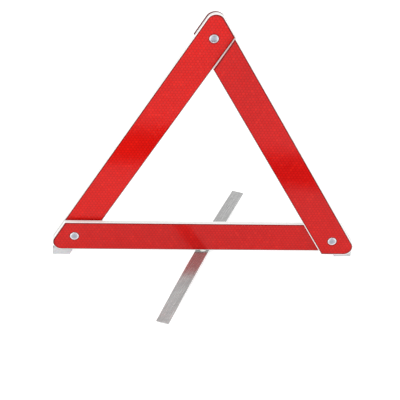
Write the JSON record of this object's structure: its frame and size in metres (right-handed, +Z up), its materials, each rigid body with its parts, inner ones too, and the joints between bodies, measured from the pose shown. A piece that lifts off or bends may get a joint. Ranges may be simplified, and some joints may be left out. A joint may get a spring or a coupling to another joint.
{
  "type": "folding warning triangle",
  "caption": "Folding roadside warning triangle: three red reflector arms riveted into a triangle, standing on two feet and a swivelling steel strip.",
  "frame": {"origin": "on the ground under the middle of the triangle: the middle of the whole object's footprint", "axes": "+X to the viewer's right along the base bar, +Y away from the viewer, +Z up"},
  "size_m": [0.431, 0.323, 0.3858],
  "materials": {
    "white_tray": "satin moulded ABS",
    "red_reflector": "glossy, with a honeycomb of micro prisms behind",
    "prism_sheet": "satin",
    "red_plate": "satin",
    "nickel_rivet": "bright nickel plate",
    "nylon": "natural nylon",
    "foot_plastic": "milky polypropylene",
    "galvanised_steel": "zinc-plated strip"
  },
  "bodies": {
    "base_bar": {"bar_tray": "white_tray", "bar_lens": "red_reflector", "bar_prism_sheet": "prism_sheet", "left_foot": "foot_plastic", "right_foot": "foot_plastic", "left_pivot_rivet": "nickel_rivet", "left_pivot_washer": "nickel_rivet", "left_pivot_spacer": "nylon", "right_pivot_rivet": "nickel_rivet", "right_pivot_washer": "nickel_rivet", "right_pivot_spacer": "nylon", "stand_washer": "nylon", "stand_rivet": "nickel_rivet"},
    "left_arm": {"left_arm_tray": "white_tray", "left_arm_lens": "red_reflector", "left_arm_prism_sheet": "prism_sheet", "apex_corner_plate": "red_plate", "apex_rivet": "nickel_rivet", "apex_washer": "nickel_rivet"},
    "right_arm": {"right_arm_tray": "white_tray", "right_arm_lens": "red_reflector", "right_arm_prism_sheet": "prism_sheet"},
    "stand": {"stand_leg": "galvanised_steel"}
  },
  "joints": [
    {"name": "left_arm_fold", "type": "hinge", "parent": "base_bar", "child": "left_arm", "pos_m": [-0.1843, 0.0084, 0.032], "axis": [0, 0.9999, 0.0163], "range_deg": [0, 60]},
    {"name": "right_arm_fold", "type": "hinge", "parent": "base_bar", "child": "right_arm", "pos_m": [0.1843, -0.0084, 0.032], "axis": [0, 0.9999, -0.0163], "range_deg": [-60, 0]},
    {"name": "stand_swivel", "type": "hinge", "parent": "base_bar", "child": "stand", "pos_m": [0, 0.001, 0], "axis": [0, 0, 1], "range_deg": [-68.4, 111.6]}
  ]
}
